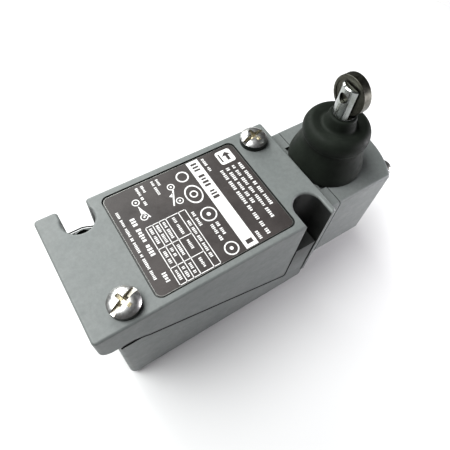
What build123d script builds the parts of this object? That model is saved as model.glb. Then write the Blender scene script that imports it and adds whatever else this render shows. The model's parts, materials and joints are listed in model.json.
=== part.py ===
"""Plug-in limit switch with a side roller plunger.

Millimetres. The origin is the centre of the mounting pattern on the back face, +X points from
the conduit entry to the operating head, +Z out of the nameplate.
"""
from build123d import *
from math import cos, radians, sin, sqrt
import os

# ---------------------------------------------------------------- driving dimensions
FRONT_Z = 47.7            # front plate above the mounting face
HALF_W = 20.0             # half width of the switch body
LEFT_X = -40.6            # conduit end of the switch body
STEP_X = 36.4             # head end of the front plate
SEAM_X = 42.35            # face of the shoulder that carries the head
HOLE_X = 29.75            # mounting holes, from the centre along the length
HOLE_Y = 14.7             # and across the width
CAPTIVE_X = 29.5          # captive screws, on the other diagonal
CAPTIVE_Y = 14.3
CAPTIVE_SHANK_R = 2.08
FIT_GAP = 0.03            # radial clearance of a sliding fit
SCREW_GAP = 0.06          # and round the shank of a screw

# Parting line between base and switch body, in the plane of the side walls
PART_LEFT_Z = 34.3
PART_JOG_X = -29.3
PART_SLOPE_TOP = (-26.6, 32.7)
PART_SLOPE_END = (24.9, 12.4)
GASKET_T = 0.5

# Base
BASE_LEFT_X = -36.0
BASE_RIGHT_X = 34.1
BASE_FOOT_X = 35.0
BASE_FOOT_Z = 6.8
BASE_HALF_W = 19.7
BASE_FLOOR = 3.0
BASE_CAVITY_HALF_W = 17.2
END_BLOCK_X = -23.5       # inner face of the solid conduit end
POST_X = 24.5             # inner face of the posts at the head end
POST_Y = 9.8
EAR_TOP_Z = 29.8
MOUNT_R = 2.6
COUNTERBORE_R = 4.65
COUNTERBORE_Z = 28.6
CONDUIT_R = 10.45         # root of the pipe thread
CONDUIT_Z = 17.35
GROUND_AT = (-20.9, -12.6)
BLOCK_SCREW_X = (-16.0, 21.5)

# Switch body
ROOF_Z = 43.9             # inside of the front plate
CAVITY_HALF_W = 17.4
CAVITY_RIGHT_X = 22.5
NOTCH_R = 4.7             # round end of the far notch and the near slot
NOTCH_HALF = 4.2
END_WALL_X = 34.5
SKIRT_Z = 7.4
CORNER_R = 1.0            # upright corners of the front plate
EDGE_R = 0.75             # rim of the front plate
CAPTIVE_HOLE_R = 2.25
RETAINER_POCKET = (40.4, 43.3)
RETAINER_R = 4.2
RETAINER_T = 0.9

# Nameplate
PLATE_X0 = -21.65
PLATE_X1 = 22.7
PLATE_HALF_Y = 17.4
PLATE_T = 0.5
PLATE_RECESS = 0.75
PLATE_MARGIN = 0.45

# Head
HEAD_HALF = 16.9
HEAD_TOP_Z = 42.8
HEAD_MID_Z = HEAD_TOP_Z - HEAD_HALF
HEAD_BOTTOM_Z = HEAD_TOP_Z - 2 * HEAD_HALF
HEAD_GASKET_T = 0.4
HEAD_X0 = SEAM_X + HEAD_GASKET_T
HEAD_CORNER_X = 64.7
HEAD_END_X = 69.9
HEAD_SCREW_Y = 11.7
HEAD_SCREW_SEAT_X = 67.3
HEAD_SCREW_HEAD_R = 3.6
HEAD_SCREW_SHANK_R = 1.66
HEAD_BOSS_R = 3.9
POCKET_HALF_Y = 8.2
POCKET_X1 = 59.0
POCKET_Z0 = 11.5
POCKET_Z1 = 36.0

# Plunger, roller and cam
PLUNGER_X = 49.85
ROD_R = 3.5
ROD_TOP_Z = 73.7
CLEVIS_Z = 63.6
CLEVIS_HALF = 1.75
ROLLER_Z = 70.2
ROLLER_R = 5.9
ROLLER_HALF = 1.46
PIN_R = 1.55
PIN_RECESS = 1.1
TRAVEL = 5.6
CONTACT_TRAVEL = 2.0
WEDGE = CONTACT_TRAVEL / TRAVEL
CAM_TOP_Z = 33.0
CAM_BOTTOM_Z = 19.5
CAM_X0 = 45.4
CAM_X1 = 58.4
CAM_HALF_Y = 7.8
SPIGOT_R = 2.2
SPIGOT_Z = 29.5
CAM_PIN_R = 0.8
CAM_PIN_Z = (SPIGOT_Z + CAM_TOP_Z) / 2
SPRING_X = 53.6
SPRING_MEAN_R = 2.4
SPRING_WIRE_R = 0.35
SPRING_POCKET_R = 3.2
SPRING_POCKET_Z = 27.5

# Rubber boot
BOOT_FOOT_R = 12.44
BOOT_FOOT_T = 1.6
BOOT_TOP_Z = 62.9
COLLAR_OUT_R = 4.45

# Contact block, inside the switch body
CASE_X0 = 2.0
CASE_X1 = 22.0
CASE_HALF_Y = 14.0
CASE_Z0 = 22.2
CASE_Z1 = 42.0
CASE_WALL = 1.6
PUSH_R = 2.0
TIP_Y = 8.3
BRIDGE_X = 13.0
CARRIER_SPRING_X = 3.65   # fixed end of the carrier spring
CARRIER_SPRING_MEAN_R = 1.9
CARRIER_SPRING_WIRE_R = 0.22
BRIDGE_Z = 31.5
CLOSED_X = 15.3           # plane of the closed pair of fixed strips
CLOSED_BLADE_Y = 10.4
OPEN_X = 8.8              # and of the open pair
OPEN_BLADE_Y = 6.1
TIP_R = 1.3
TIP_CLOSED = 0.85         # height of the fixed tips that rest against the bridge
TIP_OPEN = 0.7            # and of those that it meets at full travel

# Terminals, inside the base
BLADE_Z = 7.0
BLOCK_TOP_Z = 10.0
STRAP_T = 0.8
BLADE_T = 0.8


# ---------------------------------------------------------------- helpers
def block(x0, x1, y0, y1, z0, z1):
    """Box from its lowest and highest corners."""
    centre = ((x0 + x1) / 2, (y0 + y1) / 2, (z0 + z1) / 2)
    return Pos(*centre) * Box(x1 - x0, y1 - y0, z1 - z0)


def rod_z(x, y, z0, z1, r):
    return Pos(x, y, (z0 + z1) / 2) * Cylinder(r, z1 - z0)


def rod_x(x0, x1, y, z, r):
    return Pos((x0 + x1) / 2, y, z) * Rot(0, 90, 0) * Cylinder(r, x1 - x0)


def rod_y(x, y0, y1, z, r):
    return Pos(x, (y0 + y1) / 2, z) * Rot(90, 0, 0) * Cylinder(r, y1 - y0)


def side_profile(points, half_width):
    """Closed outline in X and Z, extruded to both sides of the middle."""
    face = Plane.XZ * make_face(Polyline(*points, close=True))
    return extrude(face, amount=half_width, both=True)


def upright_edges(solid, x_test):
    """Edges along Z whose X passes the test."""
    return [e for e in solid.edges().filter_by(Axis.Z) if x_test(e.center().X)]


def save(name, *pieces):
    """Write one node. Several pieces become a group of separate solids."""
    solids = [s for p in pieces for s in p.solids()]
    shape = solids[0] if len(solids) == 1 else Compound(children=solids)
    export_step(shape, f"parts/{name}.step")


def cross_recess(radius, depth, width):
    """Cross recess cutter with its mouth at Z = 0, its arms running in to a point."""
    arm = Pos(0, 0, -depth / 2) * Box(2 * radius, width, depth)
    cross = arm + Rot(0, 0, 90) * arm
    return cross & (Pos(0, 0, -depth / 2) * Cone(radius * 0.35, radius, depth))


def pan_screw(head_r, head_h, shank_r, length, pitch, thread_len, slot=True, turn=0.0,
              wall=0.42, slot_depth=0.31):
    """Pan head screw, its bearing face at Z = 0 and its head up.

    The upright wall of the head takes that share of its height. The thread is a run of
    V grooves, which is how a fine thread reads at this size.
    """
    wall_h = head_h * wall
    flat_r = 0.36 * head_r
    depth = 0.55 * pitch
    outline = Polyline((0, head_h), (flat_r, head_h))
    dome = TangentArc((flat_r, head_h), (head_r, wall_h), tangent=(1, 0))
    points = [(head_r, wall_h), (head_r, 0), (shank_r, 0), (shank_r, thread_len - length)]
    turns = int(thread_len / pitch)
    for i in range(turns):
        z = thread_len - length - i * pitch
        points += [(shank_r - depth, z - pitch * 0.5), (shank_r, z - pitch)]
    points += [(shank_r - depth, -length), (0, -length), (0, head_h)]
    profile = make_face([*outline.edges(), dome, *Polyline(*points).edges()])
    screw = revolve(Plane.XZ * profile, Axis.Z)
    off_seam = Rot(0, 0, 23)
    screw -= Pos(0, 0, head_h + 0.01) * off_seam * cross_recess(head_r * 0.6, head_h * 0.72,
                                                                head_r * 0.27)
    if slot:
        screw -= Pos(0, 0, head_h) * off_seam * Box(3 * head_r, head_r * 0.33,
                                                    head_h * slot_depth * 2)
    return Rot(0, 0, turn) * screw


def spring(mean_r, wire_r, length, turns):
    """Compression spring along +Z with its first end at Z = 0."""
    pitch = (length - 2 * wire_r) / turns
    path = Pos(0, 0, wire_r) * Helix(pitch, pitch * turns, mean_r)
    section = Plane(path @ 0, z_dir=path % 0) * Circle(wire_r)
    return sweep(section, path)


def parting_outline(lift):
    """The stepped and sloping parting line, from the conduit end to the head end."""
    return [
        (BASE_LEFT_X, PART_LEFT_Z + lift),
        (PART_JOG_X, PART_LEFT_Z + lift),
        (PART_SLOPE_TOP[0], PART_SLOPE_TOP[1] + lift),
        (PART_SLOPE_END[0], PART_SLOPE_END[1] + lift),
    ]


def head_screw_places():
    """The four screws on the end of the head, as (y, z)."""
    return [(y, HEAD_MID_Z + dz) for y in (-HEAD_SCREW_Y, HEAD_SCREW_Y)
            for dz in (-HEAD_SCREW_Y, HEAD_SCREW_Y)]


def round_slot(x, y, y_open, z0, z1, half=NOTCH_HALF, r=NOTCH_R):
    """Opening with a round inner end at (x, y) that runs out at y_open."""
    return rod_z(x, y, z0, z1, r) + block(x - half, x + half, min(y, y_open), max(y, y_open), z0, z1)


# ---------------------------------------------------------------- base
def base_housing():
    outline = [(BASE_LEFT_X, 0), *parting_outline(0), (BASE_RIGHT_X, PART_SLOPE_END[1]),
               (BASE_RIGHT_X, BASE_FOOT_Z), (BASE_FOOT_X, BASE_FOOT_Z), (BASE_FOOT_X, 0)]
    shell = side_profile(outline, BASE_HALF_W)
    shell = fillet(upright_edges(shell, lambda x: x < BASE_LEFT_X + 1), 2.0)
    lower = [e for e in shell.edges().filter_by(Axis.Y)
             if e.center().Z < 0.1 and e.center().X < 0]
    shell = fillet(lower, 2.5)
    shell -= block(END_BLOCK_X, POST_X, -BASE_CAVITY_HALF_W, BASE_CAVITY_HALF_W, BASE_FLOOR, FRONT_Z)
    shell -= block(POST_X - 1, 31.4, -POST_Y + 0.8, POST_Y - 0.8, BASE_FLOOR, FRONT_Z)

    ear_gap = 0.45
    ear = block(HOLE_X - NOTCH_R + ear_gap, HOLE_X + NOTCH_R - ear_gap,
                -BASE_HALF_W, -HOLE_Y, 5.0, EAR_TOP_Z)
    ear += rod_z(HOLE_X, -HOLE_Y, 5.0, EAR_TOP_Z, NOTCH_R - ear_gap)
    shell += ear
    shell += rod_z(*GROUND_AT, BASE_FLOOR - 1, BASE_FLOOR + 3.0, 2.7)

    for x, y in ((-HOLE_X, HOLE_Y), (HOLE_X, -HOLE_Y)):
        shell -= rod_z(x, y, -1, FRONT_Z, MOUNT_R)
    shell -= rod_z(-HOLE_X, HOLE_Y, COUNTERBORE_Z, FRONT_Z, COUNTERBORE_R)
    for side in (-1, 1):
        shell -= rod_z(side * CAPTIVE_X, side * CAPTIVE_Y, 4.5, FRONT_Z,
                       CAPTIVE_SHANK_R + SCREW_GAP)
    shell -= rod_z(*GROUND_AT, BASE_FLOOR, BASE_FLOOR + 4, 1.6)
    for x in BLOCK_SCREW_X:
        shell -= rod_z(x, 0, 1.2, BASE_FLOOR + 1, 1.3)
    shell -= rod_x(BASE_LEFT_X - 1, END_BLOCK_X + 1, 0, CONDUIT_Z, CONDUIT_R)
    mouth = Pos(BASE_LEFT_X, 0, CONDUIT_Z) * Rot(0, 90, 0) * Cone(CONDUIT_R + 1.0, CONDUIT_R, 2.0)
    shell -= mouth
    return shell


def base_gasket():
    inset = 0.6
    lower = parting_outline(0.03)
    upper = parting_outline(GASKET_T - 0.03)
    lower[0] = (BASE_LEFT_X + inset, lower[0][1])
    upper[0] = (BASE_LEFT_X + inset, upper[0][1])
    band = side_profile([*lower, *reversed(upper)], BASE_HALF_W - inset)
    band -= block(END_BLOCK_X - 0.4, CAVITY_RIGHT_X, -16.8, 16.8, 0, FRONT_Z)
    for sx in (-1, 1):
        for sy in (-1, 1):
            band -= rod_z(sx * HOLE_X, sy * HOLE_Y, 0, FRONT_Z, COUNTERBORE_R + 0.3)
    return max(band.solids(), key=lambda s: s.volume)


def blade_slots():
    """Middle of each plug blade: (x, y), closed pair then open pair."""
    return [(x, side * y) for x, y in ((CLOSED_X, CLOSED_BLADE_Y), (OPEN_X, OPEN_BLADE_Y))
            for side in (1, -1)]


def terminal_places():
    """Terminal screw for each blade, in the same order."""
    return [(x, side * y) for x, y in ((-13.0, CLOSED_BLADE_Y), (-5.0, OPEN_BLADE_Y))
            for side in (1, -1)]


def terminal_block():
    body = block(-18.0, 23.0, -14.5, 14.5, BASE_FLOOR + 0.05, BLOCK_TOP_Z)
    body = fillet(body.edges().filter_by(Axis.Z), 1.2)
    body += block(5.2, 18.6, -13.4, 13.4, BLOCK_TOP_Z - 0.5, 13.2)
    body += block(-17.0, 4.6, -0.7, 0.7, BLOCK_TOP_Z - 0.5, 15.0)
    for side in (-1, 1):
        body += block(-17.0, -1.0, side * 8.25 - 0.3, side * 8.25 + 0.3, BLOCK_TOP_Z - 0.5, 12.2)
    for (x, y), (tx, ty) in zip(blade_slots(), terminal_places()):
        body -= block(x - 1.5, x + 1.5, y - 2.1, y + 2.1, 5.6, 14)
        body -= block(tx - 2, x, y - 1.8, y + 1.8, BLOCK_TOP_Z, BLOCK_TOP_Z + STRAP_T + 0.15)
        body -= rod_z(tx, ty, 5.0, BLOCK_TOP_Z + 1, 1.5)
    for x in BLOCK_SCREW_X:
        body -= rod_z(x, 0, BASE_FLOOR - 1, FRONT_Z, 1.6)
        body -= rod_z(x, 0, BLOCK_TOP_Z - 2.5, FRONT_Z, 2.9)
    return body


def receptacle_contact(x, y, tx, ty):
    """Flat strap with a sprung two-leaf socket for one plug blade."""
    width = 1.65
    z0 = BLOCK_TOP_Z + 0.05
    strap = block(tx - 2.0, x - 1.05, y - width, y + width, z0, z0 + STRAP_T)
    strap -= rod_z(tx, ty, z0 - 1, z0 + 2, 1.45)
    leaf_gap = BLADE_T / 2 + 0.15
    leaves = block(x - leaf_gap - 0.5, x - leaf_gap, y - width, y + width, 6.2, z0 + STRAP_T)
    leaves += block(x + leaf_gap, x + leaf_gap + 0.5, y - width, y + width, 6.2, z0 + STRAP_T)
    leaves += block(x - leaf_gap - 0.5, x + leaf_gap + 0.5, y - width, y + width, 5.7, 6.3)
    bridge = block(x - 1.1, x - leaf_gap - 0.2, y - width, y + width, z0, z0 + STRAP_T)
    return strap + leaves + bridge


def terminal_clamp(x, y):
    """Square saddle plate with a lip on two sides, under a terminal screw."""
    z0 = BLOCK_TOP_Z + STRAP_T + 0.1
    half = 1.75
    plate = block(x - half - 1.2, x + half + 1.2, y - half, y + half, z0 + 0.7, z0 + 1.4)
    for side in (-1, 1):
        plate += block(x + side * (half + 0.9) - 0.3, x + side * (half + 0.9) + 0.3,
                       y - half, y + half, z0, z0 + 1.4)
    return plate - rod_z(x, y, 0, FRONT_Z, 1.5)


# ---------------------------------------------------------------- switch body
def body_housing():
    lift = GASKET_T
    left = parting_outline(lift)
    corner_r = 3.6
    bottom_left = (LEFT_X + corner_r, left[0][1])
    turn_x = LEFT_X + corner_r * (1 - cos(radians(45)))
    turn_z = left[0][1] + corner_r * (1 - sin(radians(45)))
    straight = Polyline((LEFT_X, left[0][1] + corner_r), (LEFT_X, FRONT_Z), (STEP_X, FRONT_Z),
                        (STEP_X, SKIRT_Z), (END_WALL_X, SKIRT_Z), (END_WALL_X, left[3][1]),
                        left[3], left[2], left[1], bottom_left)
    corner = ThreePointArc(bottom_left, (turn_x, turn_z), (LEFT_X, left[0][1] + corner_r))
    face = Plane.XZ * make_face([*straight.edges(), corner])
    body = extrude(face, amount=HALF_W, both=True)
    body = fillet(upright_edges(body, lambda x: x < LEFT_X + 1), 1.2)
    body = fillet(upright_edges(body, lambda x: x > STEP_X - 0.1), CORNER_R)

    body -= round_slot(-HOLE_X, HOLE_Y, HALF_W + 1, 0, FRONT_Z + 1)
    body -= round_slot(HOLE_X, -HOLE_Y, -HALF_W - 1, 0, FRONT_Z + 1, half=NOTCH_R)
    notch_edges = [e for e in body.edges().filter_by(Axis.Z)
                   if abs(e.center().Y - HALF_W) < 0.1 and abs(e.center().X + HOLE_X) < 5]
    body = fillet(notch_edges, 1.0)
    body = fillet(body.faces().sort_by(Axis.Z)[-1].edges(), EDGE_R)

    shoulder = block(END_WALL_X + 1, SEAM_X, -HEAD_HALF, HEAD_HALF,
                     HEAD_BOTTOM_Z, HEAD_TOP_Z)
    shoulder = fillet(shoulder.edges().filter_by(Axis.X), 1.0)
    shoulder -= block(SEAM_X - 2.1, SEAM_X + 1, -9.75, 9.75, HEAD_TOP_Z - 1.2, HEAD_TOP_Z + 1)
    body += shoulder

    body -= block(END_BLOCK_X - 0.5, CAVITY_RIGHT_X, -CAVITY_HALF_W, CAVITY_HALF_W, 0, ROOF_Z)
    body -= block(24.5, 31.5, -7.5, 7.5, 0, ROOF_Z)
    body -= rod_x(CAVITY_RIGHT_X - 1, 25, 0, HEAD_MID_Z, PUSH_R + 0.5)
    body -= rod_x(31, SEAM_X + 1, 0, HEAD_MID_Z, PUSH_R + FIT_GAP)
    body -= rod_x(36.4, 38.5, 0, HEAD_MID_Z, 3.6)
    margin = PLATE_MARGIN
    recess = block(PLATE_X0 - margin, PLATE_X1 + margin, -PLATE_HALF_Y - margin,
                   PLATE_HALF_Y + margin, FRONT_Z - PLATE_RECESS, FRONT_Z + 1)
    body -= fillet(recess.edges().filter_by(Axis.Z), 2.2)
    for side in (-1, 1):
        body -= rod_z(side * CAPTIVE_X, side * CAPTIVE_Y, 0, FRONT_Z + 1, CAPTIVE_HOLE_R)
        body -= rod_z(side * CAPTIVE_X, side * CAPTIVE_Y, *RETAINER_POCKET, RETAINER_R + 0.1)
    for y, z in head_screw_places():
        body -= rod_x(35.4, SEAM_X + 1, y, z, HEAD_SCREW_SHANK_R + SCREW_GAP)
    for x, y in case_screw_places():
        body -= rod_z(x, y, ROOF_Z - 1, ROOF_Z + 2.0, 1.05)
    return body


def nameplate():
    z0 = FRONT_Z - PLATE_RECESS + 0.02
    plate = block(PLATE_X0, PLATE_X1, -PLATE_HALF_Y, PLATE_HALF_Y, z0, z0 + PLATE_T)
    plate = fillet(plate.edges().filter_by(Axis.Z), 1.9)
    return chamfer(plate.faces().sort_by(Axis.Z)[-1].edges(), 0.12)


# ---------------------------------------------------------------- contact block
def case_screw_places():
    return [(4.6, 12.0), (19.4, -12.0)]


def contact_case():
    case = block(CASE_X0, CASE_X1, -CASE_HALF_Y, CASE_HALF_Y, CASE_Z0, CASE_Z1)
    case = fillet(case.edges().filter_by(Axis.Z), 1.0)
    inner = block(CASE_X0 + CASE_WALL, CASE_X1 - CASE_WALL, -CASE_HALF_Y + CASE_WALL,
                  CASE_HALF_Y - CASE_WALL, CASE_Z0 + CASE_WALL, CASE_Z1 + 1)
    case -= inner
    for x, y in case_screw_places():
        case += rod_z(x, y, CASE_Z0 + 0.5, CASE_Z1, 2.0)
        case -= rod_z(x, y, CASE_Z1 - 6, CASE_Z1 + 1, 0.95)
    case -= rod_x(CASE_X1 - 1.7, CASE_X1 + 1, 0, HEAD_MID_Z, 2.15)
    for x, y in blade_slots():
        case -= block(x - 0.5, x + 0.5, y - 1.9, y + 1.9, CASE_Z0 - 1, CASE_Z0 + 3)
    return case


def contact_cover():
    cover = block(CASE_X0, CASE_X1, -CASE_HALF_Y, CASE_HALF_Y, CASE_Z1 + 0.02, CASE_Z1 + 1.5)
    cover = fillet(cover.edges().filter_by(Axis.Z), 1.0)
    for x, y in case_screw_places():
        cover -= rod_z(x, y, CASE_Z1 - 1, CASE_Z1 + 3, 1.1)
        cover -= rod_z(x, y, CASE_Z1 + 0.6, CASE_Z1 + 3, 2.05)
    return cover


def contact_carrier():
    """Slide with a window for the bridge, a nose for the push rod and a spring spigot."""
    slide = block(8.2, 18.6, -3.4, 3.4, 24.1, 34.5)
    slide -= block(10.4, 15.8, -4, 4, BRIDGE_Z - 2.1, BRIDGE_Z + 2.1)
    slide += block(12.0, 12.62, -3.4, 3.4, BRIDGE_Z - 2.1, BRIDGE_Z - 1.0)
    slide += block(13.38, 14.0, -3.4, 3.4, BRIDGE_Z - 2.1, BRIDGE_Z - 1.0)
    slide += rod_x(18.5, 22.3, 0, HEAD_MID_Z, 2.0)
    slide += rod_x(6.9, 8.3, 0, HEAD_MID_Z, 1.4)
    return slide


def contact_bridge():
    """Moving bridge, one silver tip on each face at each end."""
    bridge = block(BRIDGE_X - 0.3, BRIDGE_X + 0.3, -10.0, 10.0, BRIDGE_Z - 1.9, BRIDGE_Z + 1.9)
    for y in (-TIP_Y, TIP_Y):
        bridge += rod_x(BRIDGE_X - 1.0, BRIDGE_X + 1.0, y, BRIDGE_Z, TIP_R)
    return bridge


def fixed_contact(x, side, tip_side, y_in, y_out, blade_y, tip_h):
    """Fixed strip with a silver tip, running down into its plug blade."""
    half = BLADE_T / 2
    y0, y1 = sorted((side * y_in, side * y_out))
    strip = block(x - half, x + half, y0, y1, 26.0, BRIDGE_Z + 2.2)
    strip += block(x - half, x + half, side * blade_y - 1.65, side * blade_y + 1.65, BLADE_Z, 27.0)
    tip_x0, tip_x1 = sorted((x + tip_side * half, x + tip_side * (half + tip_h)))
    strip += rod_x(tip_x0, tip_x1, side * TIP_Y, BRIDGE_Z, TIP_R)
    return strip


# ---------------------------------------------------------------- head
def head_housing():
    sides = Polyline((HEAD_CORNER_X, HEAD_HALF), (HEAD_X0, HEAD_HALF), (HEAD_X0, -HEAD_HALF),
                     (HEAD_CORNER_X, -HEAD_HALF))
    end = ThreePointArc((HEAD_CORNER_X, -HEAD_HALF), (HEAD_END_X, 0), (HEAD_CORNER_X, HEAD_HALF))
    head = extrude(Pos(0, 0, HEAD_BOTTOM_Z) * make_face([*sides.edges(), end]), amount=2 * HEAD_HALF)
    head = fillet([e for e in head.edges() if e.center().X > HEAD_CORNER_X - 0.1], 1.2)
    head = fillet(head.edges().filter_by(Axis.X), 0.9)
    head -= block(HEAD_X0 - 1, POCKET_X1, -POCKET_HALF_Y, POCKET_HALF_Y, POCKET_Z0, POCKET_Z1)
    head -= rod_z(PLUNGER_X, 0, POCKET_Z1 - 1, HEAD_TOP_Z + 1, 6.5)
    for y, z in head_screw_places():
        head += rod_x(HEAD_CORNER_X - 2, HEAD_SCREW_SEAT_X, y, z, HEAD_BOSS_R)
        head -= rod_x(HEAD_X0 - 1, HEAD_END_X + 1, y, z, 2.0)
        head -= rod_x(HEAD_SCREW_SEAT_X, HEAD_END_X + 1, y, z, HEAD_BOSS_R + 0.15)
    return head


def head_gasket():
    inset = 0.4
    sheet = block(SEAM_X + 0.03, HEAD_X0 - 0.03, -HEAD_HALF + inset, HEAD_HALF - inset,
                  HEAD_BOTTOM_Z + inset, HEAD_TOP_Z - inset)
    sheet -= block(SEAM_X - 1, HEAD_X0 + 1, -POCKET_HALF_Y, POCKET_HALF_Y, POCKET_Z0, POCKET_Z1)
    for y, z in head_screw_places():
        sheet -= rod_x(SEAM_X - 1, HEAD_X0 + 1, y, z, 2.1)
    return sheet


def guide_plate():
    """Plate in the mouth of the head's pocket that guides the transfer pin."""
    gap = 0.05
    plate = block(HEAD_X0, 44.9, -POCKET_HALF_Y + gap, POCKET_HALF_Y - gap,
                  POCKET_Z0 + gap, CAM_TOP_Z)
    return plate - rod_x(HEAD_X0 - 1, 46, 0, HEAD_MID_Z, PUSH_R + FIT_GAP)


def plunger_bushing():
    """Guide sleeve pressed into the head, with a flange over the foot of the boot."""
    z0 = CAM_TOP_Z + 0.15
    foot_top = HEAD_TOP_Z + BOOT_FOOT_T
    sleeve = rod_z(PLUNGER_X, 0, z0, foot_top + 0.5, 6.48)
    sleeve += rod_z(PLUNGER_X, 0, foot_top + 0.05, foot_top + 1.25, 9.3)
    return sleeve - rod_z(PLUNGER_X, 0, 0, FRONT_Z + 5, ROD_R + FIT_GAP)


def boot():
    """Hollow rubber boot: wide foot, waist, rolled bead, and a collar on the plunger."""
    foot_top = HEAD_TOP_Z + BOOT_FOOT_T
    collar_r = ROD_R + 0.04
    outer = Spline((BOOT_FOOT_R, HEAD_TOP_Z + 1.2), (11.75, 46.6), (10.6, 49.8), (9.95, 52.4),
                   (10.0, 53.9), (10.5, 55.3), (10.5, 56.9), (9.8, 58.4), (8.5, 59.3), (7.1, 59.2),
                   (5.8, 58.9), (4.9, 59.5), (COLLAR_OUT_R, 61.6), tangents=[(0, 1), (0, 1)])
    crown = ThreePointArc((COLLAR_OUT_R, 61.6), (4.2, 62.5), (collar_r, BOOT_TOP_Z))
    bore = Polyline((collar_r, BOOT_TOP_Z), (collar_r, 58.4))
    inner = Spline((collar_r, 58.4), (4.6, 57.4), (6.4, 57.5), (8.1, 57.6), (8.95, 56.1),
                   (8.6, 53.4), (8.6, 52.0), (9.3, 49.4), (10.3, 46.4))
    foot = Polyline((10.3, 46.4), (10.4, foot_top), (6.6, foot_top), (6.6, HEAD_TOP_Z + 0.02),
                    (BOOT_FOOT_R, HEAD_TOP_Z + 0.02), (BOOT_FOOT_R, HEAD_TOP_Z + 1.2))
    profile = make_face([outer, crown, *bore.edges(), inner, *foot.edges()])
    return Pos(PLUNGER_X, 0, 0) * revolve(Plane.XZ * profile, Axis.Z)


# ---------------------------------------------------------------- plunger, cam and roller
def plunger_rod():
    rod = rod_z(PLUNGER_X, 0, CAM_TOP_Z, ROD_TOP_Z, ROD_R)
    rod = chamfer(rod.faces().sort_by(Axis.Z)[-1].edges(), 0.35)
    rod += rod_z(PLUNGER_X, 0, SPIGOT_Z, CAM_TOP_Z + 1, SPIGOT_R)
    rod -= block(PLUNGER_X - CLEVIS_HALF, PLUNGER_X + CLEVIS_HALF, -5, 5, CLEVIS_Z, ROD_TOP_Z + 1)
    rod -= rod_x(PLUNGER_X - 5, PLUNGER_X + 5, 0, ROLLER_Z, PIN_R + 0.02)
    return rod - rod_y(PLUNGER_X, -5, 5, CAM_PIN_Z, CAM_PIN_R + 0.02)


def roller():
    wheel = rod_x(PLUNGER_X - ROLLER_HALF, PLUNGER_X + ROLLER_HALF, 0, ROLLER_Z, ROLLER_R)
    wheel = fillet(wheel.edges(), 0.22)
    for side in (-1, 1):
        face_x = PLUNGER_X + side * ROLLER_HALF
        relief = rod_x(face_x - 0.22, face_x + 0.22, 0, ROLLER_Z, ROLLER_R - 0.9)
        relief -= rod_x(face_x - 1, face_x + 1, 0, ROLLER_Z, 2.9)
        wheel -= relief
    return wheel - rod_x(PLUNGER_X - 3, PLUNGER_X + 3, 0, ROLLER_Z, PIN_R + 0.05)


def roller_pin():
    half = ROD_R - PIN_RECESS
    pin = rod_x(PLUNGER_X - half, PLUNGER_X + half, 0, ROLLER_Z, PIN_R)
    return chamfer(pin.edges(), 0.25)


def wedge_x(z):
    """X of the wedge face at height z, at rest."""
    return CAM_X0 + WEDGE * (CAM_TOP_Z - z)


def cam_block():
    """Block on the lower end of the plunger, with a wedge face towards the contacts."""
    knee_z = 22.6
    outline = [(CAM_X0, CAM_TOP_Z), (CAM_X1, CAM_TOP_Z), (CAM_X1, CAM_BOTTOM_Z),
               (wedge_x(knee_z) + 1.0, CAM_BOTTOM_Z), (wedge_x(knee_z), knee_z)]
    cam = side_profile(outline, CAM_HALF_Y)
    cam -= rod_z(PLUNGER_X, 0, SPIGOT_Z - 0.1, CAM_TOP_Z + 1, SPIGOT_R + 0.02)
    cam -= rod_z(SPRING_X, 0, CAM_BOTTOM_Z - 1, SPRING_POCKET_Z, SPRING_POCKET_R)
    return cam - rod_y(PLUNGER_X, -9, 9, CAM_PIN_Z, CAM_PIN_R + 0.02)


def cam_pin():
    return rod_y(PLUNGER_X, -CAM_HALF_Y + 0.1, CAM_HALF_Y - 0.1, CAM_PIN_Z, CAM_PIN_R)


def transfer_pin():
    """Follower with a round nose that rests on the wedge face."""
    slope = sqrt(1 + WEDGE * WEDGE)
    nose_x = wedge_x(HEAD_MID_Z) - (PUSH_R + 0.03) * slope
    pin = rod_x(SEAM_X + 0.2, nose_x, 0, HEAD_MID_Z, PUSH_R)
    return pin + Pos(nose_x, 0, HEAD_MID_Z) * Sphere(PUSH_R)


# ---------------------------------------------------------------- build every node
os.makedirs("parts", exist_ok=True)

save("base_housing", base_housing())
save("base_gasket", base_gasket())
save("terminal_block", terminal_block())
contacts = [(*slot, *place) for slot, place in zip(blade_slots(), terminal_places())]
save("receptacle_contacts", *[receptacle_contact(*c) for c in contacts])
save("terminal_clamps", *[terminal_clamp(*p) for p in terminal_places()])
clamp_top = BLOCK_TOP_Z + STRAP_T + 1.52
wire_screw = pan_screw(2.5, 1.8, 1.45, 5.6, 0.6, 4.2, turn=35)
save("terminal_screws", *[Pos(x, y, clamp_top) * wire_screw for x, y in terminal_places()])
block_screw = pan_screw(2.5, 1.8, 1.25, 5.7, 0.6, 3.0, turn=15)
save("terminal_block_screws",
     *[Pos(x, 0, BLOCK_TOP_Z - 2.48) * block_screw for x in BLOCK_SCREW_X])
ground = pan_screw(2.5, 1.8, 1.45, 2.8, 0.6, 1.2, turn=35)
save("ground_screw", Pos(*GROUND_AT, BASE_FLOOR + 3.02) * ground)

save("body_housing", body_housing())
save("nameplate", nameplate())
captive = pan_screw(4.4, 3.1, CAPTIVE_SHANK_R, 40.0, 0.8, 9.6, wall=0.6, slot_depth=0.43)
save("captive_screws",
     *[Pos(s * CAPTIVE_X, s * CAPTIVE_Y, FRONT_Z + 0.02) * Rot(0, 0, turn) * captive
       for s, turn in ((-1, 0), (1, -13))])
washer = rod_z(0, 0, 0, RETAINER_T, RETAINER_R) - rod_z(0, 0, -1, 2, CAPTIVE_SHANK_R + 0.04)
save("screw_retainers",
     *[Pos(s * CAPTIVE_X, s * CAPTIVE_Y, RETAINER_POCKET[1] - RETAINER_T - 0.1) * washer
       for s in (-1, 1)])

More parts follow.
